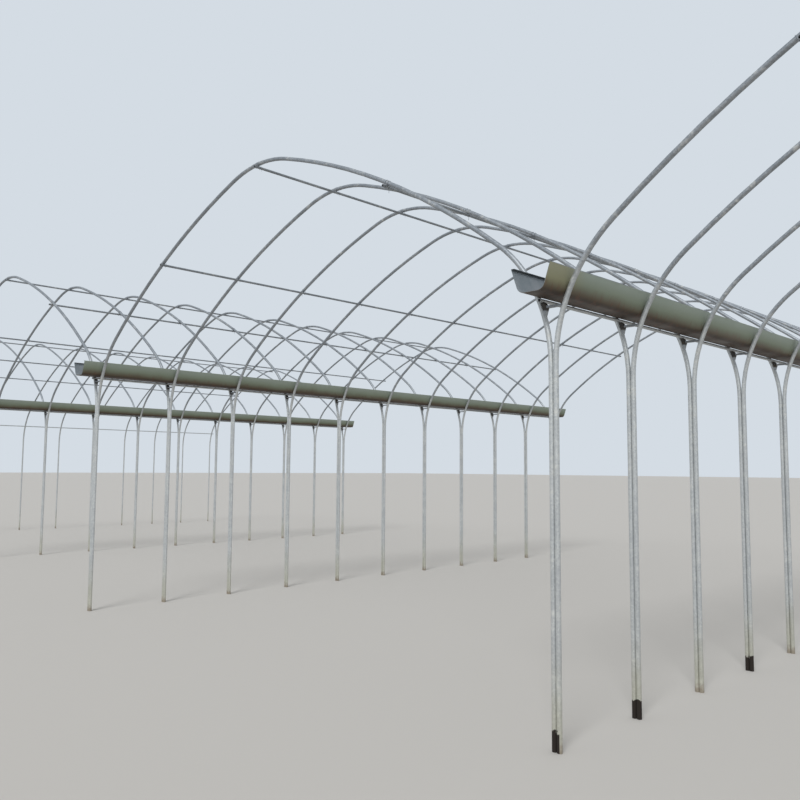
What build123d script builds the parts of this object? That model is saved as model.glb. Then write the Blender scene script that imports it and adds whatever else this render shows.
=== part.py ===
from build123d import *
import math
import os

# Bare tube frame of a multi-span greenhouse: four round-shouldered tunnels side by side, their legs
# paired into Y posts that carry the valley gutters. Millimetres, z = 0 is the ground, the ridges run
# along y, and the origin is under the middle of the house.

# Layout
span_count = 4
span_width = 6000
arch_count = 11
arch_pitch = 875

# Bows: every arch is two bent tubes, from the foot up to the ridge
bow_tube = 32
bow_sides = 6
shoulder_start = 2150
shoulder_radius = 990
eaves_slope = 38
ridge_slope = 17.5
ridge_radius = 1300

# The bends are made of straight runs, with one corner where a bow has turned this far from upright
# and meets the gutter, and one over each side purlin. So many runs lie on either side of these.
gutter_turn = 24.75
shoulder_runs = 2
roof_runs = 2

# Collars over the joints of the half bows
ridge_collar = 38
collar_length = 140

# Purlins lie under the bows
purlin_tube = 22
purlin_overhang = 40
side_purlin_from_ridge = 1600

# Valley gutters: folded sheet with the rims turned inwards, lying in the V between two bows, where
# the walls lean outwards less than the bows do
gutter_floor = 165
gutter_depth = 150
gutter_wall_lean = 19
gutter_sheet = 2
gutter_corner = 50
gutter_lip = 22
gutter_overhang = 220

# What carries a gutter at each post: a bearer tube under its floor, a gusset plate on the left bow
# that the bearer rests on, and a cross tie from the gusset to the right bow
bearer_tube = 22
bearer_overhang = 40
gusset_height = 78
gusset_seat = 20
gusset_width = 32
tie_drop = 22
tie_height = 12
bracket_depth = 30

# Straight tubes have flats, and this much room where they lie against their neighbours
straight_sides = 16
seat_gap = 0.25

# Sizes that follow from the ones above
house_length = (arch_count - 1) * arch_pitch
half_span = span_width / 2
leg_line = half_span - bow_tube / 2
arch_rows = [number * arch_pitch - house_length / 2 for number in range(arch_count)]
ridge_lines = [(number - (span_count - 1) / 2) * span_width for number in range(span_count)]
valley_lines = [line + half_span for line in ridge_lines[:-1]]


def sine(degrees):
    return math.sin(math.radians(degrees))


def cosine(degrees):
    return math.cos(math.radians(degrees))


def tangent(degrees):
    return math.tan(math.radians(degrees))


def steps(first, last, count):
    return [first + (last - first) * number / count for number in range(1, count + 1)]


# Centre line of a half bow, as distances out from the ridge line and heights. Each bend is pressed
# in short straight runs: a vertical leg, the shoulder, the slightly curved roof and the ridge, where
# the bow ends at its collar.
eaves_out = leg_line - shoulder_radius * (1 - sine(eaves_slope))
eaves_height = shoulder_start + shoulder_radius * cosine(eaves_slope)
ridge_out = ridge_radius * sine(ridge_slope)
roof_radius = (eaves_out - ridge_out) / (sine(eaves_slope) - sine(ridge_slope))
roof_rise = roof_radius * (cosine(ridge_slope) - cosine(eaves_slope))
ridge_height = eaves_height + roof_rise + ridge_radius * (1 - cosine(ridge_slope))
purlin_slope = math.degrees(
    math.asin(sine(eaves_slope) - (eaves_out - side_purlin_from_ridge) / roof_radius)
)


def bow_line():
    points = [(leg_line, 0), (leg_line, shoulder_start)]
    last_turn = 90 - eaves_slope
    turns = steps(0, gutter_turn, shoulder_runs) + steps(gutter_turn, last_turn, shoulder_runs)
    for turn in turns:
        out = leg_line - shoulder_radius * (1 - cosine(turn))
        points.append((out, shoulder_start + shoulder_radius * sine(turn)))
    slopes = steps(eaves_slope, purlin_slope, roof_runs) + steps(purlin_slope, ridge_slope, roof_runs)
    for slope in slopes:
        out = eaves_out - roof_radius * (sine(eaves_slope) - sine(slope))
        points.append((out, eaves_height + roof_radius * (cosine(slope) - cosine(eaves_slope))))
    points.append((collar_length / 2, ridge_height))
    return points


bow_points = bow_line()

# Lower end and lean of each run. A bow curves one way only, so the innermost of its runs' lines is
# the one that it follows at any place.
bow_runs = []
for low, high in zip(bow_points, bow_points[1:]):
    bow_runs.append((low, math.degrees(math.atan2(low[0] - high[0], high[1] - low[1]))))


def out_beside_bow(distance, height):
    """How far out a line beside a bow is at a height, at a distance outside the bow's centre line."""
    return min(
        low[0] + distance / cosine(lean) - (height - low[1]) * tangent(lean) for low, lean in bow_runs
    )


def height_beside_bow(distance, out):
    """How high a line beside a bow is, this far out."""
    return min(
        low[1] + (low[0] + distance / cosine(lean) - out) / tangent(lean)
        for low, lean in bow_runs
        if lean > 0
    )


def valley_gap(height):
    """Half the width of the V between two neighbouring bows."""
    return half_span - out_beside_bow(bow_tube / 2, height)


os.makedirs("parts", exist_ok=True)


def save(builder, name):
    builder.part.label = name
    export_step(builder.part, "parts/" + name + ".step")


# One half bow, swept along its line, past the collar's end and cut off there, and its mirror image
last_rise = (ridge_height - bow_points[-2][1]) / (bow_points[-2][0] - collar_length / 2)
past_cut = (collar_length / 2 - bow_tube, ridge_height + bow_tube * last_rise)

with BuildPart() as right_bow:
    with BuildLine(Plane.XZ):
        Polyline(*bow_points[:-1], past_cut)
    with BuildSketch(Plane.XY):
        with Locations((leg_line, 0)):
            RegularPolygon(bow_tube / 2, bow_sides, major_radius=False, rotation=180 / bow_sides)
    sweep(transition=Transition.RIGHT)
    split(bisect_by=Plane.YZ.offset(collar_length / 2), keep=Keep.TOP)

with BuildPart() as left_bow:
    mirror(right_bow.part, about=Plane.YZ)


with BuildPart() as collar:
    with BuildSketch(Plane.YZ.offset(-collar_length / 2)):
        with Locations((0, ridge_height)):
            RegularPolygon(ridge_collar / 2, bow_sides, major_radius=False)
    extrude(amount=collar_length)


def straight_tubes(diameter, overhang, places):
    """Tubes along the house, at (x, z) places."""
    with BuildPart() as tubes:
        with BuildSketch(Plane.XZ):
            with Locations(*places):
                RegularPolygon(
                    diameter / 2, straight_sides, major_radius=False, rotation=180 / straight_sides
                )
        extrude(amount=house_length / 2 + overhang, both=True)
    return tubes


# Tunnels: the half bows, their collars and the three purlins of each span
ridge_purlin_height = ridge_height - ridge_collar / 2 - purlin_tube / 2 - seat_gap
purlin_drop = bow_tube / 2 + purlin_tube / 2 + seat_gap
side_purlin_height = height_beside_bow(-purlin_drop, side_purlin_from_ridge)

for number, ridge_line in enumerate(ridge_lines, start=1):
    span = f"span_{number}"
    arch_pieces = (("left_bows", left_bow), ("right_bows", right_bow), ("ridge_collars", collar))
    for name, piece in arch_pieces:
        with BuildPart() as pieces:
            with Locations(*[(ridge_line, row, 0) for row in arch_rows]):
                add(piece.part)
        save(pieces, f"{span}_{name}")
    ridge_place = (ridge_line, ridge_purlin_height)
    save(straight_tubes(purlin_tube, purlin_overhang, [ridge_place]), f"{span}_ridge_purlin")
    side_places = [
        (ridge_line + side * side_purlin_from_ridge, side_purlin_height) for side in (-1, 1)
    ]
    save(straight_tubes(purlin_tube, purlin_overhang, side_places), f"{span}_side_purlins")

# The gutter lies with its round corners against the bows, so its floor is as high as it fits
corner_half = gutter_floor / 2 - gutter_corner * tangent((90 - gutter_wall_lean) / 2)
corner_height = height_beside_bow(
    bow_tube / 2 + seat_gap + gutter_corner, half_span - corner_half
)
gutter_underside = corner_height - gutter_corner
rim_height = gutter_underside + gutter_depth
rim_half = gutter_floor / 2 + gutter_depth * tangent(gutter_wall_lean)

# Gutter section, traced along its outside from rim to rim, with a lip turned in at each rim
gutter_walls = [
    (-rim_half, rim_height),
    (-gutter_floor / 2, gutter_underside),
    (gutter_floor / 2, gutter_underside),
    (rim_half, rim_height),
]

with BuildPart() as gutter:
    with BuildSketch(Plane.XZ):
        with BuildLine():
            Line((gutter_lip - rim_half, rim_height), gutter_walls[0])
            FilletPolyline(*gutter_walls, radius=gutter_corner)
            Line(gutter_walls[-1], (rim_half - gutter_lip, rim_height))
            offset(amount=gutter_sheet, side=Side.LEFT)
        make_face()
    extrude(amount=house_length / 2 + gutter_overhang, both=True)

# Heights of the pieces under the gutter, from its floor downwards
bearer_height = gutter_underside - bearer_tube / 2
gusset_top = gutter_underside - bearer_tube
gusset_tip = gusset_top - gusset_height
tie_top = gusset_top - tie_drop
tie_bottom = tie_top - tie_height
tie_start = gusset_width - valley_gap(tie_top)


def bracket(outline):
    """A flat piece across a post, cut to lie along the bows that it meets."""
    with BuildPart() as plate:
        with BuildSketch(Plane.XZ):
            with BuildLine():
                Polyline(*outline, close=True)
            make_face()
        extrude(amount=bracket_depth / 2, both=True)
    return plate


gusset = bracket([
    (-valley_gap(gusset_top), gusset_top),
    (gusset_seat - valley_gap(gusset_top), gusset_top),
    (tie_start, tie_top),
    (tie_start, tie_bottom),
    (-valley_gap(gusset_tip), gusset_tip),
])

tie = bracket([
    (tie_start, tie_top),
    (valley_gap(tie_top), tie_top),
    (valley_gap(tie_bottom), tie_bottom),
    (tie_start, tie_bottom),
])

# Valleys: the gutter, its bearer tube beside the left bow, the gussets and the ties
beside_bow = bow_tube / 2 + bearer_tube / 2 + seat_gap
bearer_shift = half_span - out_beside_bow(beside_bow, bearer_height)

for number, valley_line in enumerate(valley_lines, start=1):
    valley = f"gutter_{number}"
    with BuildPart() as trough:
        with Locations((valley_line, 0, 0)):
            add(gutter.part)
    save(trough, valley)
    bearer_place = (valley_line - bearer_shift, bearer_height)
    save(straight_tubes(bearer_tube, bearer_overhang, [bearer_place]), f"{valley}_bearer")
    for name, piece in (("ties", tie), ("gussets", gusset)):
        with BuildPart() as pieces:
            with Locations(*[(valley_line, row, 0) for row in arch_rows]):
                add(piece.part)
        save(pieces, f"{valley}_{name}")

# Outer walls: a tube along the inside of the shoulders, at the height of the bearers
eaves_tube_out = out_beside_bow(-beside_bow, bearer_height)

for name, line, side in (
    ("left_eaves_tube", ridge_lines[0], -1),
    ("right_eaves_tube", ridge_lines[-1], 1),
):
    eaves_place = (line + side * eaves_tube_out, bearer_height)
    save(straight_tubes(bearer_tube, bearer_overhang, [eaves_place]), name)

print("ridge centre line", round(ridge_height, 1), "gutter underside", round(gutter_underside, 1))
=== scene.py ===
import math
from contextlib import contextmanager
from functools import wraps

import bmesh
import bpy
from bpy.props import FloatProperty, FloatVectorProperty, IntProperty, PointerProperty
from mathutils import Matrix, Vector


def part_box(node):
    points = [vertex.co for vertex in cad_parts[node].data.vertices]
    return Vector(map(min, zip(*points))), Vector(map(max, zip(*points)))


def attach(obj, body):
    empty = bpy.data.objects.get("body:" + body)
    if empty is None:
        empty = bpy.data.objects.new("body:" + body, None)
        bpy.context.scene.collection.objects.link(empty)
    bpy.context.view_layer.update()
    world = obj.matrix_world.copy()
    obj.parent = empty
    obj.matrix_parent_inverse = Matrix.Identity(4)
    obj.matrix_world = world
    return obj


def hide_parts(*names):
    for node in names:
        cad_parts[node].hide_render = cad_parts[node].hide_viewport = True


bl_info = {
    "name": "Multi-span Greenhouse",
    "version": (1, 0, 0),
    "blender": (4, 5, 0),
    "location": "View3D > Sidebar > Greenhouse",
    "description": "Round tubes, sleeves, clips, gutters and finishes for a greenhouse frame",
    "category": "Object",
}

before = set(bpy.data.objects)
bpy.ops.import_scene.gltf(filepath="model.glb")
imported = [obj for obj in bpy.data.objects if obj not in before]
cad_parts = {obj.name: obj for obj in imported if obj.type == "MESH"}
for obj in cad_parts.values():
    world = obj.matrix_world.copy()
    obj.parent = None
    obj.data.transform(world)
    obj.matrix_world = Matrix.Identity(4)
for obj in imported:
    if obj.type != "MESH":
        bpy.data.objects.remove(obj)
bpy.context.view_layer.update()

# Steps and sides of what is round
TUBE_SIDES = 16
THIN_TUBE_SIDES = 20
SHOULDER_STEPS = 14
ROOF_STEPS = 12
RIDGE_STEPS = 5
SLEEVE_STEPS = 6
CORNER_SEGMENTS = 9
RIM_SEGMENTS = 2

# In metres: vertices this close are one, a place this close is the same, and the round tubes stay
# this far inside the frame's box
DOUBLES = 0.00001
CLOSE = 0.001
HAIR = 0.00001

# Outside diameter of the bow tube
BOW_TUBE = 0.032

# Posts under the last gutter with coated feet: the arch, and how far the coating reaches sideways
COATED_FEET = ((0, 0.036), (1, 0.046), (3, 0.046))


def named_before(suffix):
    """What stands before this suffix in the names of the frame's nodes."""
    return sorted(name.removesuffix(suffix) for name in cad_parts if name.endswith(suffix))


def middle(node):
    low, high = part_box(node)
    return (low + high) / 2


def size_of(node):
    low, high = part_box(node)
    return high - low


# Where the frame has its spans and valleys
SPANS = named_before("_ridge_purlin")
VALLEYS = named_before("_bearer")
RIDGE_LINES = {span: middle(f"{span}_ridge_purlin").x for span in SPANS}
PURLIN_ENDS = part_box("span_1_ridge_purlin")
BOW_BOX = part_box("span_1_right_bows")
GUTTER_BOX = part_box("gutter_1")
GUSSET_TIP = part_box(f"{VALLEYS[0]}_gussets")[0].z


class BowSizes(bpy.types.PropertyGroup):
    """Sizes of the bent tubes"""

    tube: FloatProperty(
        name="Tube", description="Outside diameter of the bow tube", default=BOW_TUBE, unit="LENGTH"
    )
    leg_line: FloatProperty(
        name="Leg line",
        description="Distance from the ridge line to the middle of a leg",
        default=BOW_BOX[1].x - RIDGE_LINES["span_1"] - BOW_TUBE / 2 - HAIR,
        unit="LENGTH",
    )
    shoulder_start: FloatProperty(
        name="Shoulder start",
        description="Height where the shoulder begins",
        default=2.15,
        unit="LENGTH",
    )
    shoulder_radius: FloatProperty(
        name="Shoulder radius",
        description="Bend radius of the shoulder",
        default=0.99,
        unit="LENGTH",
    )
    eaves_slope: FloatProperty(
        name="Eaves slope",
        description="Slope of the roof where the shoulder ends",
        default=math.radians(38),
        unit="ROTATION",
    )
    ridge_slope: FloatProperty(
        name="Ridge slope",
        description="Slope of the roof where the bend at the ridge begins",
        default=math.radians(17.5),
        unit="ROTATION",
    )
    ridge_radius: FloatProperty(
        name="Ridge radius", description="Bend radius at the ridge", default=1.3, unit="LENGTH"
    )
    arches: IntProperty(name="Arches", description="Arches in a row along the house", default=11)
    overhang: FloatProperty(
        name="Overhang",
        description="How far the purlins run past the first and the last arch",
        default=0.04,
        unit="LENGTH",
    )


class FittingSizes(bpy.types.PropertyGroup):
    """Sizes of the thin tubes, sleeves and clips"""

    purlin: FloatProperty(
        name="Purlin",
        description="Outside diameter of the thin tubes",
        default=0.022,
        unit="LENGTH",
    )
    purlin_wall: FloatProperty(
        name="Purlin wall", description="Wall of the thin tubes", default=0.0015, unit="LENGTH"
    )
    sleeve_length: FloatProperty(
        name="Sleeve length",
        description="Length of the sleeve at the ridge",
        default=0.14,
        unit="LENGTH",
    )
    sleeve_wall: FloatProperty(
        name="Sleeve wall",
        description="Wall of the sleeve at the ridge",
        default=0.001,
        unit="LENGTH",
    )
    clip_wire: FloatProperty(
        name="Clip wire", description="Thickness of the clip wire", default=0.003, unit="LENGTH"
    )
    ridge_wire: FloatProperty(
        name="Ridge clip wire",
        description="Thickness of the wire over a sleeve",
        default=0.0018,
        unit="LENGTH",
    )
    clip_tail: FloatProperty(
        name="Clip tail",
        description="How far a clip's end hangs down",
        default=0.024,
        unit="LENGTH",
    )
    tail_from_tube: FloatProperty(
        name="Tail from tube",
        description="How far a clip's end bends away from the thin tube",
        default=0.006,
        unit="LENGTH",
    )
    tail_from_bow: FloatProperty(
        name="Tail from bow",
        description="How far a clip's end bends away from the bow",
        default=0.004,
        unit="LENGTH",
    )


class GutterSizes(bpy.types.PropertyGroup):
    """Sizes of the folded gutters"""

    floor: FloatProperty(
        name="Floor", description="Width of the gutter's floor", default=0.165, unit="LENGTH"
    )
    wall_lean: FloatProperty(
        name="Wall lean",
        description="How far the walls lean outwards from upright",
        default=math.radians(19),
        unit="ROTATION",
    )
    corner: FloatProperty(
        name="Corner radius",
        description="Bend radius between floor and wall",
        default=0.05,
        unit="LENGTH",
    )
    lip: FloatProperty(
        name="Lip",
        description="Width of the rim that is turned inwards",
        default=0.022,
        unit="LENGTH",
    )
    rim_bend: FloatProperty(
        name="Rim bend", description="Width of the bend at the rim", default=0.003, unit="LENGTH"
    )
    sheet: FloatProperty(
        name="Sheet", description="Thickness of the sheet", default=0.002, unit="LENGTH"
    )
    sheet_length: FloatProperty(
        name="Sheet length",
        description="Distance from the front end to the first lapped seam, and from seam to seam",
        default=3.645,
        unit="LENGTH",
    )
    seam_lap: FloatProperty(
        name="Seam lap", description="Width of a lapped seam", default=0.06, unit="LENGTH"
    )
    lap_sheet: FloatProperty(
        name="Lap sheet", description="Thickness of a lapped seam", default=0.0015, unit="LENGTH"
    )
    lap_above_floor: FloatProperty(
        name="Lap above floor",
        description="Height above the floor where a lap begins",
        default=0.012,
        unit="LENGTH",
    )
    lap_below_rim: FloatProperty(
        name="Lap below rim",
        description="Distance below the rim where a lap ends",
        default=0.006,
        unit="LENGTH",
    )


def amount_of_light(level):
    """What the sRGB curve gives for a screen's level between 0 and 255."""
    shown = level / 255
    return shown / 12.92 if shown <= 0.04045 else ((shown + 0.055) / 1.055) ** 2.4


def colour(name, description, *levels):
    """A colour that is given as the screen's levels of red, green and blue."""
    return FloatVectorProperty(
        name=name,
        description=description,
        size=3,
        default=[amount_of_light(level) for level in levels],
        min=0,
        max=1,
        subtype="COLOR",
    )


class FinishColours(bpy.types.PropertyGroup):
    """Colours of the metal"""

    zinc_light: colour("Light zinc", "Light crystals of the zinc on the bows", 208, 211, 210)
    zinc_dark: colour("Dark zinc", "Dark crystals of the zinc on the bows", 184, 188, 190)
    white_rust: colour("White rust", "Dull white film on weathered zinc", 214, 214, 208)
    # The bows' upper parts are painted darker: painted shade of the roof tubes' undersides
    roof_light: colour("Light roof zinc", "Light crystals of the bows' upper parts", 165, 170, 175)
    roof_dark: colour("Dark roof zinc", "Dark crystals of the bows' upper parts", 134, 140, 146)
    # The thin tubes are painted darker than the bows' legs: painted shade of roof tubes seen from
    # below
    thin_light: colour("Light purlin zinc", "Light crystals of the thin tubes", 156, 161, 165)
    thin_dark: colour("Dark purlin zinc", "Dark crystals of the thin tubes", 124, 129, 134)
    dust: colour("Dust", "Yellowish dust on the lower legs", 188, 182, 146)
    soil: colour("Soil", "Earth splashed on the feet", 105, 82, 60)
    tar: colour("Tar", "Black coating on some of the feet", 34, 26, 20)
    gutter_rim: colour("Gutter rim", "Upper part of the gutter's outside", 148, 158, 147)
    gutter_wall: colour("Gutter wall", "Middle of the gutter's outside", 131, 141, 123)
    gutter_film: colour("Gutter film", "Yellowish film near the front end", 158, 150, 112)
    # The brown of the lower gutter is partly stain and partly painted shade and painted reflection
    # of the ground; the inner dirt and the gussets' patches use it too
    gutter_stain: colour("Gutter stain", "Brown stain on the lower part", 84, 72, 54)
    # Painted shade: the darkest brown, along the gutter's underside
    gutter_under: colour("Gutter underside", "Dark dirt under the floor", 54, 43, 33)
    gutter_rust: colour("Gutter rust", "Red-brown streaks on the lower part", 104, 62, 40)
    gutter_inside: colour("Gutter inside", "Dull zinc of the gutter's inside", 128, 136, 140)
    bracket: colour("Bracket steel", "Dark steel of the gussets", 62, 60, 58)


def band(name, description, full, end):
    """Where a layer of dirt or colour is full and where it ends."""
    return FloatVectorProperty(
        name=name, description=description, size=2, default=(full, end), unit="LENGTH"
    )


def share(name, description, default):
    """How far a layer covers what is under it."""
    return FloatProperty(
        name=name, description=description, default=default, min=0, max=1, subtype="FACTOR"
    )


class WeatherSizes(bpy.types.PropertyGroup):
    """How much the metal is dulled, dirty and painted with shade, and where: fully, and up to where
    it ends
    """

    rust_share: share("White rust cover", "How far the white rust covers the zinc", 0.4)
    dust_share: share("Dust cover", "How far the dust covers the legs", 0.4)
    soil_share: share("Soil cover", "How far the soil covers the feet", 0.6)
    film_share: share("Film cover", "How far the film covers the near gutter's front end", 0.55)
    streak_share: share("Streak cover", "How far the red-brown streaks cover the stain", 0.35)
    dirt_share: share("Dirt cover", "How far the dirt covers the gutters' floors", 0.7)
    # Painted shade: the bows turn darker grey between these heights
    roof_grey: band("Roof grey", "Heights between which the bows turn grey", 2.95, 2.35)
    dust: band("Dust", "Heights up to which dust lies on the legs", 0.2, 0.75)
    splash: band("Splash", "Heights up to which soil sticks to the feet", 0.06, 0.13)
    tar: band("Tar", "Heights up to which some feet are coated black", 0.160, 0.168)
    tar_depth: FloatProperty(
        name="Tar depth",
        description="Reach of the coating along the house, from the middle of a post",
        default=0.05,
        unit="LENGTH",
    )
    tar_shift: FloatProperty(
        name="Tar shift",
        description="Middle of the coating, from the middle of a valley",
        default=-0.012,
        unit="LENGTH",
    )
    film: band("Film", "Lengths of the film from a gutter's front end", 0.25, 0.5)
    pale_rim: band("Pale rim", "Heights of the paler rim above a gutter's floor", 0.14, 0.06)
    # The brown band is partly stain and partly painted shade
    stain: band("Stain", "Heights of the brown stain above a gutter's floor", 0.01, 0.085)
    # Painted shade along the gutter's underside, between these heights
    under: band("Underside", "Heights of the dark dirt above a gutter's floor", 0.004, 0.025)
    inner_dirt: band("Inner dirt", "Heights of the dirt above the floor inside", 0.01, 0.035)
    pale_tip: band("Pale tip", "Heights of the pale metal above a gusset's tip", 0.022, 0.034)


class StageSizes(bpy.types.PropertyGroup):
    """Camera, light and floor"""

    camera_place: FloatVectorProperty(
        name="Camera place",
        description="Where the camera stands",
        size=3,
        default=(8.626, -8.215, 1.551),
        subtype="TRANSLATION",
        unit="LENGTH",
    )
    camera_heading: FloatProperty(
        name="Camera heading",
        description="Heading of the view, from along the ridges towards the right wall",
        default=math.radians(-45.274),
        unit="ROTATION",
    )
    camera_rise: FloatProperty(
        name="Camera rise",
        description="How far the view looks up",
        default=math.radians(4.909),
        unit="ROTATION",
    )
    camera_roll: FloatProperty(
        name="Camera roll",
        description="How far the camera is turned about its view",
        default=math.radians(0.391),
        unit="ROTATION",
    )
    lens: FloatProperty(name="Lens", description="Focal length in millimetres", default=36.08)
    sensor: FloatProperty(name="Sensor", description="Sensor width in millimetres", default=36)
    sight: FloatProperty(
        name="Sight", description="How far the camera sees", default=1000, unit="LENGTH"
    )
    floor: FloatProperty(
        name="Floor", description="Width of the floor", default=400, unit="LENGTH"
    )
    floor_drop: FloatProperty(
        name="Floor drop",
        description="How far the floor lies below the feet",
        default=0.0005,
        unit="LENGTH",
    )
    sun: FloatProperty(name="Sun", description="Strength of the soft sun", default=1.7)
    sun_tilt: FloatProperty(
        name="Sun tilt",
        description="Angle of the sun from straight above",
        default=math.radians(48),
        unit="ROTATION",
    )
    sun_turn: FloatProperty(
        name="Sun turn",
        description="Angle of the sun about the upright axis",
        default=math.radians(25),
        unit="ROTATION",
    )
    sun_width: FloatProperty(
        name="Sun width",
        description="Apparent width of the sun, which softens the shadows",
        default=math.radians(22),
        unit="ROTATION",
    )
    sky: FloatProperty(
        name="Sky", description="Strength of the light from all round", default=0.55
    )
    floor_colour: colour("Floor colour", "Pale plain floor", 196, 194, 190)
    sky_colour: colour("Background", "Pale plain background", 212, 220, 228)


# Modelling by hand: what is selected, what is edited and how a finished piece is put down


def deselect():
    bpy.ops.object.select_all(action="DESELECT")


def pick(*pieces):
    """Selects these pieces and nothing else, with the first one active."""
    deselect()
    for piece in pieces:
        piece.select_set(True)
    bpy.context.view_layer.objects.active = pieces[0]


@contextmanager
def editing(piece):
    """Keeps a piece in edit mode, and nothing else selected."""
    pick(piece)
    bpy.ops.object.mode_set(mode="EDIT")
    bpy.ops.mesh.select_mode(type="VERT")
    yield
    bpy.ops.object.mode_set(mode="OBJECT")


def choose(piece, kind, test):
    """Selects only the edges or faces of the edited piece whose middle passes the test."""
    bpy.ops.mesh.select_mode(type=kind)
    bpy.ops.mesh.select_all(action="DESELECT")
    mesh = bmesh.from_edit_mesh(piece.data)
    for part in mesh.edges if kind == "EDGE" else mesh.faces:
        if test(sum((vertex.co for vertex in part.verts), Vector()) / len(part.verts)):
            part.select_set(True)
    mesh.select_flush_mode()
    bmesh.update_edit_mesh(piece.data)


def draw_out(*by):
    """Extrudes what is selected by these distances."""
    bpy.ops.mesh.extrude_region_move(TRANSFORM_OT_translate={"value": by})


def clean_up():
    """Merges the vertices that lie together and turns all faces outwards."""
    bpy.ops.mesh.select_all(action="SELECT")
    bpy.ops.mesh.remove_doubles(threshold=DOUBLES)
    bpy.ops.mesh.normals_make_consistent(inside=False)


def tube_end(name, sides, radius, wall, location, rotation):
    """A flat ring, from which a hollow tube is drawn out."""
    deselect()
    bpy.ops.mesh.primitive_circle_add(
        vertices=sides, radius=radius, fill_type="NGON", location=location, rotation=rotation
    )
    ring = bpy.context.object
    ring.name = name
    with editing(ring):
        bpy.ops.mesh.select_mode(type="FACE")
        bpy.ops.mesh.select_all(action="SELECT")
        bpy.ops.mesh.inset(thickness=wall)
        bpy.ops.mesh.delete(type="FACE")
    return ring


def settle(piece):
    """Puts the piece's place and turn into its mesh."""
    pick(piece)
    bpy.ops.object.transform_apply(location=True, rotation=True, scale=True)


def smooth(piece, angle=35):
    """Shades the piece smooth, up to edges that turn by more than this many degrees."""
    pick(piece)
    bpy.ops.object.shade_smooth_by_angle(angle=math.radians(angle))


def copied(piece, name, by, turned=0.0):
    """A copy with its own mesh, turned about the world's upright axis and then moved."""
    pick(piece)
    bpy.ops.object.duplicate(linked=False)
    copy = bpy.context.object
    copy.name = name
    copy.data.name = name
    turn = Matrix.Rotation(turned, 4, "Z")
    copy.matrix_world = Matrix.Translation(by) @ turn @ copy.matrix_world
    settle(copy)
    return copy


def arch_rows(layout):
    """Where the first arch stands, and how far it is from one arch to the next."""
    first = PURLIN_ENDS[0].y + layout.overhang
    last = PURLIN_ENDS[1].y - layout.overhang
    return first, (last - first) / (layout.arches - 1)


def in_rows(piece, layout):
    """Repeats a piece of the first arch at every arch."""
    first, pitch = arch_rows(layout)
    piece.location.y += first
    settle(piece)
    rows = piece.modifiers.new("Rows", "ARRAY")
    rows.count = layout.arches
    rows.use_relative_offset = False
    rows.use_constant_offset = True
    rows.constant_offset_displace = (0, pitch, 0)
    pick(piece)
    bpy.ops.object.modifier_apply(modifier=rows.name)


def joined(name, *pieces):
    """These pieces as one, under a new name."""
    pick(*pieces)
    bpy.ops.object.join()
    whole = bpy.context.object
    whole.name = name
    whole.data.name = name
    return whole


def put_down(piece, slot, finish, *nodes):
    """A finished piece without a material gets this one, and rides in place of these nodes."""
    if not piece.data.materials:
        piece.data.materials.append(finish)
    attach(piece, "root")
    if nodes:
        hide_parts(*nodes)


# Finishes


class Nodes:
    """The nodes of a material or of the world."""

    def __init__(self, tree):
        self.tree = tree

    def add(self, kind, **settings):
        node = self.tree.nodes.new(kind)
        for name, value in settings.items():
            setattr(node, name, value)
        return node

    def feed(self, socket, value):
        """Links another node's output to the socket, or sets a number or a colour on it."""
        if isinstance(value, bpy.types.NodeSocket):
            self.tree.links.new(value, socket)
        elif hasattr(value, "__len__") and len(value) == 3 and len(socket.default_value) == 4:
            socket.default_value = (*value, 1)
        else:
            socket.default_value = value

    def math(self, operation, *values):
        node = self.add("ShaderNodeMath", operation=operation)
        for socket, value in zip(node.inputs, values):
            self.feed(socket, value)
        return node.outputs[0]


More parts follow.
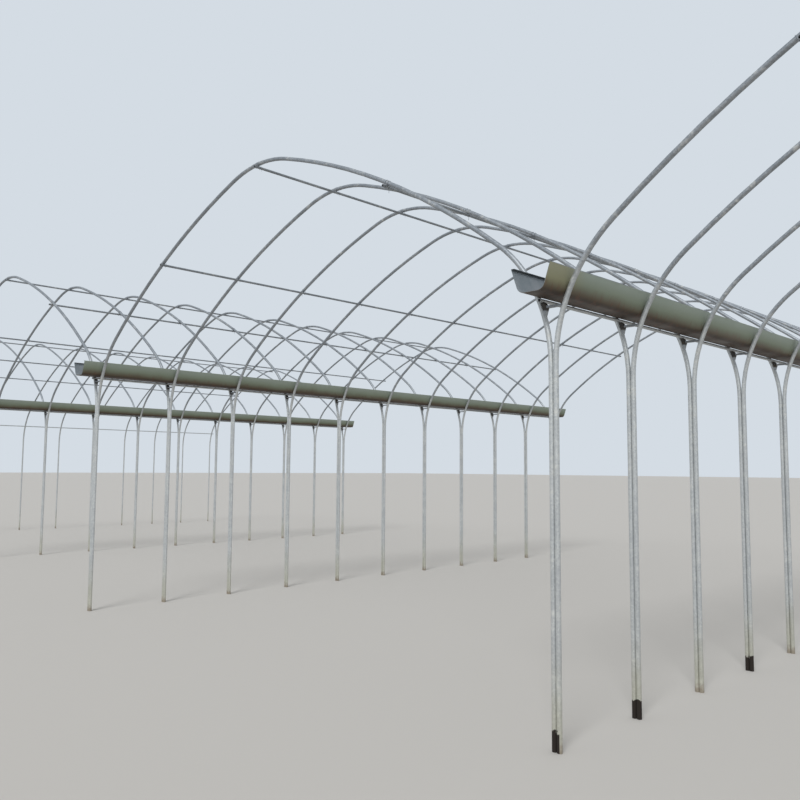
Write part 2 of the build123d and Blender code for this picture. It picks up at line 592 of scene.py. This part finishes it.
class Finish(Nodes):
    """A material and the nodes that its pattern is made of."""

    def __init__(self, name):
        self.material = bpy.data.materials.new(name)
        self.material.use_nodes = True
        super().__init__(self.material.node_tree)
        self.shader = self.tree.nodes["Principled BSDF"]
        self.place = self.add("ShaderNodeTexCoord").outputs["Object"]
        split = self.add("ShaderNodeSeparateXYZ")
        self.feed(split.inputs[0], self.place)
        self.x, self.y, self.z = split.outputs

    def times(self, first, second):
        return self.math("MULTIPLY", first, second)

    def plus(self, first, second):
        return self.math("ADD", first, second)

    def larger(self, first, second):
        return self.math("MAXIMUM", first, second)

    def near(self, value, centre, reach):
        """One within reach of the centre, and zero outside it."""
        return self.math("COMPARE", value, centre, reach)

    def stretched(self, along):
        node = self.add("ShaderNodeMapping")
        self.feed(node.inputs["Vector"], self.place)
        self.feed(node.inputs["Scale"], along)
        return node.outputs[0]

    def noise(self, grain, detail, along=None):
        """Cloudy pattern whose clouds are about this many metres wide."""
        node = self.add("ShaderNodeTexNoise")
        self.feed(node.inputs["Vector"], self.stretched(along) if along else self.place)
        self.feed(node.inputs["Scale"], 1 / grain)
        self.feed(node.inputs["Detail"], detail)
        return node.outputs[0]

    def crystals(self, width):
        """A random share for every crystal of the zinc."""
        node = self.add("ShaderNodeTexVoronoi")
        self.feed(node.inputs["Vector"], self.place)
        self.feed(node.inputs["Scale"], 1 / width)
        split = self.add("ShaderNodeSeparateColor")
        self.feed(split.inputs[0], node.outputs["Color"])
        return split.outputs[0]

    def fade(self, value, start, end, low=0.0, high=1.0):
        """Goes from low to high while the value goes from start to end."""
        node = self.add("ShaderNodeMapRange", interpolation_type="SMOOTHSTEP")
        for socket, number in zip(node.inputs, (value, start, end, low, high)):
            self.feed(socket, number)
        return node.outputs[0]

    def layer(self, value, band, base=0.0):
        """One at the band's first value, where a layer is full, and zero where it ends."""
        full, end = band
        return self.fade(value, start=base + end, end=base + full)

    def blend(self, share, first, second):
        """Mixes this share of the second colour into the first."""
        node = self.add("ShaderNodeMix", data_type="RGBA")
        used = [socket for socket in node.inputs if socket.enabled]
        for socket, value in zip(used, (share, first, second)):
            self.feed(socket, value)
        return next(socket for socket in node.outputs if socket.enabled)

    def show(self, **sockets):
        """Gives these values to the shader's sockets of the same names."""
        for name, value in sockets.items():
            self.feed(self.shader.inputs[name.replace("_", " ").title()], value)

    def relief(self, height, depth, strength):
        """Roughens the surface by a height pattern, this many metres deep."""
        node = self.add("ShaderNodeBump")
        self.feed(node.inputs["Strength"], strength)
        self.feed(node.inputs["Distance"], depth)
        self.feed(node.inputs["Height"], height)
        self.feed(self.shader.inputs["Normal"], node.outputs[0])


def made_once(make):
    """The material that has the function's name, made on first use."""

    @wraps(make)
    def finish(scene):
        return bpy.data.materials.get(make.__name__) or make(scene)

    return finish


@made_once
def bow_zinc(scene):
    colours = scene.greenhouse_colours
    return weathered_zinc("bow_zinc", colours.zinc_light, colours.zinc_dark, scene, bows=True)


@made_once
def purlin_zinc(scene):
    colours = scene.greenhouse_colours
    # The thin tubes get darker colours: painted shade
    return weathered_zinc("purlin_zinc", colours.thin_light, colours.thin_dark, scene)


def weathered_zinc(name, light, dark, scene, bows=False):
    """Galvanised tube: crystals, white rust; on the bows painted shade on the roof and dirty feet.
    """
    colours, weather = scene.greenhouse_colours, scene.greenhouse_weather
    zinc = Finish(name)
    crystal = zinc.crystals(width=0.011)
    cloud = zinc.noise(grain=0.12, detail=4.0)
    patch = zinc.noise(grain=0.035, detail=5.0)
    shade = zinc.plus(zinc.times(crystal, 0.35), zinc.times(cloud, 0.6))
    lightness = zinc.fade(shade, start=0.2, end=0.85)
    metal = zinc.blend(lightness, dark, light)
    if bows:
        # Painted shade: the bows turn darker grey towards the roof
        roof = zinc.blend(lightness, colours.roof_dark, colours.roof_light)
        metal = zinc.blend(zinc.layer(zinc.z, weather.roof_grey), metal, roof)
    chalk_clouds = zinc.fade(cloud, start=0.42, end=0.62)
    chalk = zinc.times(zinc.fade(patch, start=0.5, end=0.72), chalk_clouds)
    skin = zinc.blend(zinc.times(chalk, weather.rust_share), metal, colours.white_rust)
    dull = zinc.times(chalk, 0.5)
    if bows:
        ragged = zinc.times(zinc.noise(grain=0.03, detail=5.0), 0.1)
        height = zinc.plus(zinc.z, ragged)
        dust = zinc.layer(zinc.plus(zinc.z, zinc.times(cloud, 0.3)), weather.dust)
        skin = zinc.blend(zinc.times(dust, weather.dust_share), skin, colours.dust)
        splash = zinc.layer(height, weather.splash)
        skin = zinc.blend(zinc.times(splash, weather.soil_share), skin, colours.soil)
        coated = coated_feet(zinc, height, scene)
        skin = zinc.blend(coated, skin, colours.tar)
        dull = zinc.larger(zinc.larger(dull, splash), coated)
    zinc.show(
        base_color=skin,
        metallic=zinc.fade(dull, start=0.0, end=0.8, low=0.6, high=0.05),
        roughness=zinc.fade(
            zinc.plus(dull, zinc.times(crystal, 0.3)), start=0.0, end=1.2, low=0.46, high=0.85
        ),
    )
    grit = zinc.noise(grain=0.004, detail=2.0)
    zinc.relief(zinc.plus(patch, zinc.times(grit, 0.4)), depth=0.0004, strength=0.5)
    return zinc.material


def coated_feet(zinc, height, scene):
    """The black coating on the feet of some posts under the last gutter."""
    weather = scene.greenhouse_weather
    first, pitch = arch_rows(scene.greenhouse_bows)
    centre = middle(VALLEYS[-1]).x + weather.tar_shift
    coated = 0.0
    for arch, reach in COATED_FEET:
        in_row = zinc.near(zinc.y, first + arch * pitch, weather.tar_depth)
        coated = zinc.larger(coated, zinc.times(in_row, zinc.near(zinc.x, centre, reach)))
    return zinc.times(coated, zinc.layer(height, weather.tar))


@made_once
def gutter_outside(scene):
    """Weathered sheet: grey green above, brown below as stain plus painted shade, with rust
    streaks.
    """
    colours, weather = scene.greenhouse_colours, scene.greenhouse_weather
    sheet = Finish("gutter_outside")
    front, floor = GUTTER_BOX[0].y, GUTTER_BOX[0].z
    cloud = sheet.noise(grain=0.25, detail=4.0)
    streak = sheet.noise(grain=0.03, detail=4.0, along=(1.0, 1.0, 0.15))
    height = sheet.plus(sheet.z, sheet.times(sheet.math("SUBTRACT", cloud, 0.5), 0.05))
    paleness = sheet.layer(height, weather.pale_rim, base=floor)
    skin = sheet.blend(paleness, colours.gutter_wall, colours.gutter_rim)
    length = sheet.plus(sheet.y, sheet.times(cloud, 0.2))
    on_last_gutter = sheet.near(sheet.x, middle(VALLEYS[-1]).x, size_of(VALLEYS[-1]).x)
    film = sheet.times(sheet.layer(length, weather.film, base=front), on_last_gutter)
    skin = sheet.blend(sheet.times(film, weather.film_share), skin, colours.gutter_film)
    # Brown towards the bottom: partly stain, partly painted shade and painted reflection of the
    # ground
    stained_and_shaded = sheet.layer(height, weather.stain, base=floor)
    skin = sheet.blend(stained_and_shaded, skin, colours.gutter_stain)
    # Painted shade: darkest along the underside
    under = sheet.layer(sheet.z, weather.under, base=floor)
    skin = sheet.blend(under, skin, colours.gutter_under)
    streaked = sheet.times(sheet.fade(streak, start=0.52, end=0.66), stained_and_shaded)
    skin = sheet.blend(sheet.times(streaked, weather.streak_share), skin, colours.gutter_rust)
    sheet.show(
        base_color=skin,
        metallic=sheet.fade(stained_and_shaded, start=0.0, end=1.0, low=0.35, high=0.05),
        roughness=sheet.fade(cloud, start=0.3, end=0.7, low=0.45, high=0.65),
    )
    sheet.relief(sheet.plus(cloud, sheet.times(streak, 0.3)), depth=0.002, strength=0.4)
    return sheet.material


@made_once
def gutter_inside(scene):
    """Dull zinc with dirt on the floor."""
    colours, weather = scene.greenhouse_colours, scene.greenhouse_weather
    sheet = Finish("gutter_inside")
    cloud = sheet.noise(grain=0.08, detail=5.0)
    lightness = sheet.fade(cloud, start=0.3, end=0.7)
    metal = sheet.blend(lightness, colours.gutter_inside, colours.thin_light)
    height = sheet.plus(sheet.z, sheet.times(cloud, 0.02))
    dirt = sheet.layer(height, weather.inner_dirt, base=GUTTER_BOX[0].z)
    skin = sheet.blend(sheet.times(dirt, weather.dirt_share), metal, colours.gutter_stain)
    sheet.show(
        base_color=skin,
        metallic=sheet.fade(dirt, start=0.0, end=1.0, low=0.6, high=0.0),
        roughness=sheet.fade(cloud, start=0.3, end=0.7, low=0.4, high=0.6),
    )
    sheet.relief(cloud, depth=0.001, strength=0.4)
    return sheet.material


@made_once
def dark_steel(scene):
    """Dark steel colour with brown patches and a pale lower tip, for the gussets."""
    colours = scene.greenhouse_colours
    steel = Finish("dark_steel")
    cloud = steel.noise(grain=0.02, detail=4.0)
    rusty = steel.fade(cloud, start=0.5, end=0.75)
    skin = steel.blend(rusty, colours.bracket, colours.gutter_stain)
    pale = steel.layer(steel.z, scene.greenhouse_weather.pale_tip, base=GUSSET_TIP)
    steel.show(
        base_color=steel.blend(pale, skin, colours.thin_light),
        metallic=steel.fade(cloud, start=0.45, end=0.75, low=0.6, high=0.15),
        roughness=steel.fade(cloud, start=0.3, end=0.7, low=0.4, high=0.7),
    )
    steel.relief(cloud, depth=0.0005, strength=0.5)
    return steel.material


# Shape of a bow: heights and distances out from the ridge line


def eaves_place(sizes):
    out = sizes.leg_line - sizes.shoulder_radius * (1 - math.sin(sizes.eaves_slope))
    return out, sizes.shoulder_start + sizes.shoulder_radius * math.cos(sizes.eaves_slope)


def roof_radius(sizes):
    out = eaves_place(sizes)[0] - sizes.ridge_radius * math.sin(sizes.ridge_slope)
    return out / (math.sin(sizes.eaves_slope) - math.sin(sizes.ridge_slope))


def roof_place(sizes, slope):
    """Where the roof has this slope."""
    out, height = eaves_place(sizes)
    radius = roof_radius(sizes)
    return (
        out - radius * (math.sin(sizes.eaves_slope) - math.sin(slope)),
        height + radius * (math.cos(slope) - math.cos(sizes.eaves_slope)),
    )


def crest(sizes):
    height = roof_place(sizes, sizes.ridge_slope)[1]
    return height + sizes.ridge_radius * (1 - math.cos(sizes.ridge_slope))


def slope_at(sizes, out):
    """Slope of the roof this far out from the ridge line."""
    eaves_out = eaves_place(sizes)[0]
    return math.asin(math.sin(sizes.eaves_slope) - (eaves_out - out) / roof_radius(sizes))


class GREENHOUSE_OT_bows(bpy.types.Operator):
    """Bend the bows: half arches of round tube, from the foot to the ridge"""

    bl_idname = "greenhouse.bows"
    bl_label = "Bows"

    def execute(self, context):
        sizes = context.scene.greenhouse_bows
        half = self.half_bow(sizes)
        in_rows(half, sizes)
        finish = bow_zinc(context.scene)
        for span, line in RIDGE_LINES.items():
            for side, turned in (("right", 0.0), ("left", math.pi)):
                node = f"{span}_{side}_bows"
                bows = copied(half, f"{node}_tubes", (line, 0, 0), turned)
                put_down(bows, "bow_tube", finish, node)
        bpy.data.objects.remove(half)
        return {"FINISHED"}

    def half_bow(self, sizes):
        deselect()
        bpy.ops.mesh.primitive_circle_add(
            vertices=TUBE_SIDES,
            radius=sizes.tube / 2,
            fill_type="NGON",
            location=(sizes.leg_line, 0, 0),
        )
        half = bpy.context.object
        half.name = "half_bow"
        eaves_out, eaves_height = eaves_place(sizes)
        radius = roof_radius(sizes)
        roof_centre = (
            eaves_out - radius * math.sin(sizes.eaves_slope),
            0,
            eaves_height - radius * math.cos(sizes.eaves_slope),
        )
        shoulder_centre = (sizes.leg_line - sizes.shoulder_radius, 0, sizes.shoulder_start)
        bends = (
            (SHOULDER_STEPS, math.pi / 2 - sizes.eaves_slope, shoulder_centre),
            (ROOF_STEPS, sizes.eaves_slope - sizes.ridge_slope, roof_centre),
            (RIDGE_STEPS, sizes.ridge_slope, (0, 0, crest(sizes) - sizes.ridge_radius)),
        )
        with editing(half):
            bpy.ops.mesh.select_all(action="SELECT")
            draw_out(0, 0, sizes.shoulder_start)
            for count, turn, centre in bends:
                bpy.ops.mesh.spin(steps=count, angle=turn, center=centre, axis=(0, 1, 0))
            clean_up()
        settle(half)
        smooth(half, angle=50)
        return half


class GREENHOUSE_OT_sleeves(bpy.types.Operator):
    """Put the short sleeves over the joints of the half bows"""

    bl_idname = "greenhouse.sleeves"
    bl_label = "Ridge sleeves"

    def execute(self, context):
        sizes = context.scene.greenhouse_bows
        fittings = context.scene.greenhouse_fittings
        sleeve = self.sleeve(sizes, fittings)
        in_rows(sleeve, sizes)
        finish = bow_zinc(context.scene)
        for span, line in RIDGE_LINES.items():
            sleeves = copied(sleeve, f"{span}_ridge_sleeves", (line, 0, 0))
            put_down(sleeves, "bow_tube", finish, f"{span}_ridge_collars")
        bpy.data.objects.remove(sleeve)
        return {"FINISHED"}

    def sleeve(self, sizes, fittings):
        reach = fittings.sleeve_length / 2 / sizes.ridge_radius
        centre = Vector((0, 0, crest(sizes) - sizes.ridge_radius))
        start = centre + sizes.ridge_radius * Vector((math.sin(reach), 0, math.cos(reach)))
        wall = fittings.sleeve_wall
        upright = (0, math.pi / 2 + reach, 0)
        sleeve = tube_end("sleeve", TUBE_SIDES, sizes.tube / 2 + wall, wall, start, upright)
        with editing(sleeve):
            bpy.ops.mesh.select_all(action="SELECT")
            bpy.ops.mesh.spin(steps=SLEEVE_STEPS, angle=2 * reach, center=centre, axis=(0, 1, 0))
            clean_up()
        settle(sleeve)
        smooth(sleeve)
        return sleeve


class GREENHOUSE_OT_thin_tubes(bpy.types.Operator):
    """Lay the purlins, the gutters' bearers and the eaves tubes along the house"""

    bl_idname = "greenhouse.thin_tubes"
    bl_label = "Thin tubes"

    def execute(self, context):
        fittings = context.scene.greenhouse_fittings
        purlin, pale = purlin_zinc(context.scene), bow_zinc(context.scene)
        single = {f"{span}_ridge_purlin": purlin for span in SPANS}
        single.update({f"{valley}_bearer": pale for valley in VALLEYS})
        single.update(left_eaves_tube=pale, right_eaves_tube=pale)
        for node, finish in single.items():
            tube = self.tube(fittings, f"{node}_hollow", middle(node), size_of(node).y)
            put_down(tube, "purlin_tube", finish, node)
        for span in SPANS:
            node = f"{span}_side_purlins"
            centre = middle(node)
            out = size_of(node).x / 2 - fittings.purlin / 2
            pair = [
                self.tube(fittings, "purlin", centre + Vector((side * out, 0, 0)), size_of(node).y)
                for side in (-1, 1)
            ]
            put_down(joined(f"{node}_hollow", *pair), "purlin_tube", purlin, node)
        return {"FINISHED"}

    def tube(self, fittings, name, centre, length):
        radius, wall = fittings.purlin / 2, fittings.purlin_wall
        start = centre - Vector((0, length / 2, 0))
        upright = (math.pi / 2, 0, 0)
        tube = tube_end(name, THIN_TUBE_SIDES, radius, wall, start, upright)
        with editing(tube):
            bpy.ops.mesh.select_all(action="SELECT")
            draw_out(0, length, 0)
            clean_up()
        settle(tube)
        smooth(tube)
        return tube


class GREENHOUSE_OT_clips(bpy.types.Operator):
    """Hook a wire clip over the bow at every crossing with a thin tube"""

    bl_idname = "greenhouse.clips"
    bl_label = "Wire clips"

    def execute(self, context):
        sizes = context.scene.greenhouse_bows
        fittings = context.scene.greenhouse_fittings
        finish = bow_zinc(context.scene)
        ridge = self.ridge_clips(sizes, fittings)
        side = self.side_clips(sizes, fittings)
        for span, line in RIDGE_LINES.items():
            parts = [
                copied(ridge, "clips", (line, 0, 0)),
                copied(side, "clips", (line, 0, 0)),
                copied(side, "clips", (line, 0, 0), math.pi),
            ]
            put_down(joined(f"{span}_wire_clips", *parts), "bracket_steel", finish)
        bpy.data.objects.remove(ridge)
        bpy.data.objects.remove(side)
        return {"FINISHED"}

    def ridge_clips(self, sizes, fittings):
        """Clips over the middle of the sleeves, around the ridge purlin."""
        sleeve_radius = sizes.tube / 2 + fittings.sleeve_wall
        drop = crest(sizes) - middle("span_1_ridge_purlin").z
        clips = self.clip(fittings, sleeve_radius, drop, fittings.ridge_wire)
        clips.location = (0, 0, crest(sizes))
        in_rows(clips, sizes)
        return clips

    def side_clips(self, sizes, fittings):
        """Clips over the right half bows, around the side purlin."""
        drop = sizes.tube / 2 + fittings.purlin / 2
        clips = self.clip(fittings, sizes.tube / 2, drop, fittings.clip_wire)
        purlin_out = size_of("span_1_side_purlins").x / 2 - fittings.purlin / 2
        slope = slope_at(sizes, purlin_out + drop * math.sin(slope_at(sizes, purlin_out)))
        out, height = roof_place(sizes, slope)
        clips.rotation_euler.y = slope
        clips.location = (out, 0, height)
        in_rows(clips, sizes)
        return clips

    def clip(self, fittings, grip, drop, wire):
        """A wire over a tube of radius grip, on both sides of a thin tube this far below it."""
        beside = grip + wire / 2
        below = -drop - fittings.purlin / 2 - wire / 2
        apart = fittings.purlin / 2 + wire
        chamfer = beside * math.tan(math.pi / 8)  # half a side of an eight-sided bend
        over = ((beside, chamfer), (chamfer, beside), (-chamfer, beside), (-beside, chamfer))
        tail = Vector((fittings.tail_from_tube, fittings.tail_from_bow, -fittings.clip_tail))
        start = Vector((apart, beside, below))
        route = [start + tail, start]
        route += [Vector((apart, across, up)) for across, up in over]
        route += [Vector((apart, -beside, below)), Vector((-apart, -beside, below))]
        route += [Vector((-apart, across, up)) for across, up in reversed(over)]
        route += [Vector((-apart, beside, below)), Vector((apart - wire, beside, below))]
        return bent_wire(route, wire)


def bent_wire(route, thickness):
    """A wire: one point drawn out along its route and given a round section."""
    deselect()
    bpy.ops.mesh.primitive_plane_add(size=CLOSE, location=route[0])
    wire = bpy.context.object
    wire.name = "clip"
    with editing(wire):
        bpy.ops.mesh.select_all(action="SELECT")
        bpy.ops.mesh.merge(type="CENTER")
        for start, end in zip(route, route[1:]):
            draw_out(*(end - start))
    settle(wire)
    bpy.ops.object.convert(target="CURVE")
    wire = bpy.context.object
    wire.data.bevel_depth = thickness / 2
    wire.data.bevel_resolution = 0
    wire.data.use_fill_caps = True
    bpy.ops.object.convert(target="MESH")
    wire = bpy.context.object
    smooth(wire, angle=50)
    return wire


class GREENHOUSE_OT_gutters(bpy.types.Operator):
    """Fold the gutters from sheet and lap their seams"""

    bl_idname = "greenhouse.gutters"
    bl_label = "Gutters"

    def execute(self, context):
        sizes = context.scene.greenhouse_gutters
        outside, inside = gutter_outside(context.scene), gutter_inside(context.scene)
        front, back = GUTTER_BOX[0].y, GUTTER_BOX[1].y
        gutter = self.trough(sizes, front, back)
        gutter.data.materials.append(outside)
        gutter.data.materials.append(inside)
        self.thicken(gutter, sizes.sheet, -1)
        laps = []
        seam = front + sizes.sheet_length
        while seam < back - sizes.seam_lap:
            laps.append(self.lap(sizes, seam))
            seam += sizes.sheet_length
        seams = joined("seams", *laps)
        for valley in VALLEYS:
            line = middle(valley).x
            sheet = copied(gutter, f"{valley}_sheet", (line, 0, 0))
            put_down(sheet, "gutter_sheet", outside, valley)
            put_down(copied(seams, f"{valley}_seams", (line, 0, 0)), "gutter_sheet", outside)
        bpy.data.objects.remove(gutter)
        bpy.data.objects.remove(seams)
        return {"FINISHED"}

    def trough(self, sizes, front, back):
        """The outside of the gutter, as a sheet without thickness."""
        floor, rim = GUTTER_BOX[0].z, GUTTER_BOX[1].z
        spread = (rim - floor) * math.tan(sizes.wall_lean)
        deselect()
        bpy.ops.mesh.primitive_plane_add(size=1, location=(0, (front + back) / 2, floor))
        trough = bpy.context.object
        trough.name = "trough"
        trough.scale = (sizes.floor, back - front, 1)
        settle(trough)
        with editing(trough):
            for side in (-1, 1):
                choose(trough, "EDGE", lambda at: side * at.x > sizes.floor / 2 - CLOSE)
                draw_out(side * spread, 0, rim - floor)
                draw_out(-side * sizes.lip, 0, 0)
            choose(
                trough,
                "EDGE",
                lambda at: at.z < floor + CLOSE and abs(abs(at.x) - sizes.floor / 2) < CLOSE,
            )
            tangent_length = sizes.corner * math.tan((math.pi / 2 - sizes.wall_lean) / 2)
            bpy.ops.mesh.bevel(offset=tangent_length, segments=CORNER_SEGMENTS, affect="EDGES")
            rim_half = sizes.floor / 2 + spread
            choose(trough, "EDGE", lambda at: abs(abs(at.x) - rim_half) < CLOSE)
            bpy.ops.mesh.bevel(offset=sizes.rim_bend, segments=RIM_SEGMENTS, affect="EDGES")
            clean_up()
        lowest = min(trough.data.polygons, key=lambda face: face.center.z)
        if lowest.normal.z > 0:
            with editing(trough):
                bpy.ops.mesh.select_all(action="SELECT")
                bpy.ops.mesh.flip_normals()
        return trough

    def thicken(self, piece, thickness, side):
        """Gives the sheet a wall to its inner side, with the second material, or to its outer."""
        wall = piece.modifiers.new("Wall", "SOLIDIFY")
        wall.thickness = thickness
        wall.offset = side
        wall.use_even_offset = True
        wall.material_offset = 1 if side < 0 else 0
        wall.material_offset_rim = 1 if side < 0 else 0
        pick(piece)
        bpy.ops.object.modifier_apply(modifier=wall.name)
        smooth(piece)

    def lap(self, sizes, seam):
        """The end of the next sheet, lapped over the walls at a seam."""
        lap = self.trough(sizes, seam, seam + sizes.seam_lap)
        floor, rim = GUTTER_BOX[0].z, GUTTER_BOX[1].z
        with editing(lap):
            low, high = floor + sizes.lap_above_floor, rim - sizes.lap_below_rim
            choose(lap, "FACE", lambda at: at.z < low or at.z > high)
            bpy.ops.mesh.delete(type="FACE")
        self.thicken(lap, sizes.lap_sheet, 1)
        return lap


class GREENHOUSE_OT_brackets(bpy.types.Operator):
    """Finish the gussets and cross ties that carry the gutters"""

    bl_idname = "greenhouse.brackets"
    bl_label = "Brackets"

    def execute(self, context):
        steel, zinc = dark_steel(context.scene), purlin_zinc(context.scene)
        for valley in VALLEYS:
            for part, finish in (("gussets", steel), ("ties", zinc)):
                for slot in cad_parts[f"{valley}_{part}"].material_slots:
                    slot.material = finish
        return {"FINISHED"}


class GREENHOUSE_OT_stage(bpy.types.Operator):
    """Set up the floor, the soft light and the camera"""

    bl_idname = "greenhouse.stage"
    bl_label = "Stage"

    def execute(self, context):
        stage = context.scene.greenhouse_stage
        self.floor(stage)
        self.light(context.scene, stage)
        self.camera(context.scene, stage)
        context.scene.view_settings.view_transform = "Standard"
        return {"FINISHED"}

    def floor(self, stage):
        deselect()
        bpy.ops.mesh.primitive_plane_add(size=stage.floor, location=(0, 0, -stage.floor_drop))
        floor = bpy.context.object
        floor.name = "floor"
        settle(floor)
        finish = Finish("floor")
        finish.show(base_color=stage.floor_colour, roughness=0.9)
        floor.data.materials.append(finish.material)

    def light(self, scene, stage):
        bpy.ops.object.light_add(type="SUN", rotation=(stage.sun_tilt, 0, stage.sun_turn))
        sun = bpy.context.object
        sun.name = "soft_sun"
        sun.data.energy = stage.sun
        sun.data.angle = stage.sun_width
        world = bpy.data.worlds.new("studio")
        scene.world = world
        world.use_nodes = True
        world.node_tree.nodes.clear()
        sky = Nodes(world.node_tree)
        rays = sky.add("ShaderNodeLightPath").outputs
        mirrored = sky.math("MAXIMUM", rays["Is Glossy Ray"], rays["Is Transmission Ray"])
        seen = sky.math("MAXIMUM", rays["Is Camera Ray"], mirrored)
        shown = sky.add("ShaderNodeBackground")
        sky.feed(shown.inputs["Color"], stage.sky_colour)
        light = sky.add("ShaderNodeBackground")
        sky.feed(light.inputs["Color"], (1, 1, 1))
        sky.feed(light.inputs["Strength"], stage.sky)
        mixed = sky.add("ShaderNodeMixShader")
        for socket, value in zip(mixed.inputs, (seen, light.outputs[0], shown.outputs[0])):
            sky.feed(socket, value)
        sky.feed(sky.add("ShaderNodeOutputWorld").inputs["Surface"], mixed.outputs[0])

    def camera(self, scene, stage):
        heading, rise, roll = stage.camera_heading, stage.camera_rise, stage.camera_roll
        level = Vector((math.cos(heading), -math.sin(heading), 0))
        ahead = Vector((math.sin(heading), math.cos(heading), math.tan(rise))).normalized()
        upright = level.cross(ahead)
        right = math.cos(roll) * level + math.sin(roll) * upright
        up = math.cos(roll) * upright - math.sin(roll) * level
        turn = Matrix((right, up, -ahead)).transposed()
        bpy.ops.object.camera_add(location=stage.camera_place, rotation=turn.to_euler())
        camera = bpy.context.object
        camera.name = "photo_camera"
        camera.data.sensor_width = stage.sensor
        camera.data.lens = stage.lens
        camera.data.clip_end = stage.sight
        scene.camera = camera


class GREENHOUSE_PT_panel(bpy.types.Panel):
    """Lists the steps that dress the frame"""

    bl_idname = "GREENHOUSE_PT_panel"
    bl_label = "Greenhouse"
    bl_space_type = "VIEW_3D"
    bl_region_type = "UI"
    bl_category = "Greenhouse"

    def draw(self, context):
        for step in STEPS:
            self.layout.operator(step.bl_idname)
        for name in SETTINGS:
            values = getattr(context.scene, name)
            box = self.layout.box()
            for value in values.bl_rna.properties:
                if not value.is_readonly and value.identifier != "name":
                    box.prop(values, value.identifier)


STEPS = (
    GREENHOUSE_OT_bows,
    GREENHOUSE_OT_sleeves,
    GREENHOUSE_OT_thin_tubes,
    GREENHOUSE_OT_clips,
    GREENHOUSE_OT_gutters,
    GREENHOUSE_OT_brackets,
    GREENHOUSE_OT_stage,
)
SETTINGS = {
    "greenhouse_bows": BowSizes,
    "greenhouse_fittings": FittingSizes,
    "greenhouse_gutters": GutterSizes,
    "greenhouse_colours": FinishColours,
    "greenhouse_weather": WeatherSizes,
    "greenhouse_stage": StageSizes,
}
CLASSES = (*SETTINGS.values(), *STEPS, GREENHOUSE_PT_panel)


def register():
    for entry in CLASSES:
        bpy.utils.register_class(entry)
    for name, group in SETTINGS.items():
        setattr(bpy.types.Scene, name, PointerProperty(type=group))


def unregister():
    for name in SETTINGS:
        delattr(bpy.types.Scene, name)
    for entry in reversed(CLASSES):
        bpy.utils.unregister_class(entry)


def main():
    register()
    bpy.ops.greenhouse.bows()
    bpy.ops.greenhouse.sleeves()
    bpy.ops.greenhouse.thin_tubes()
    bpy.ops.greenhouse.clips()
    bpy.ops.greenhouse.gutters()
    bpy.ops.greenhouse.brackets()
    bpy.ops.greenhouse.stage()


if __name__ == "__main__":
    main()
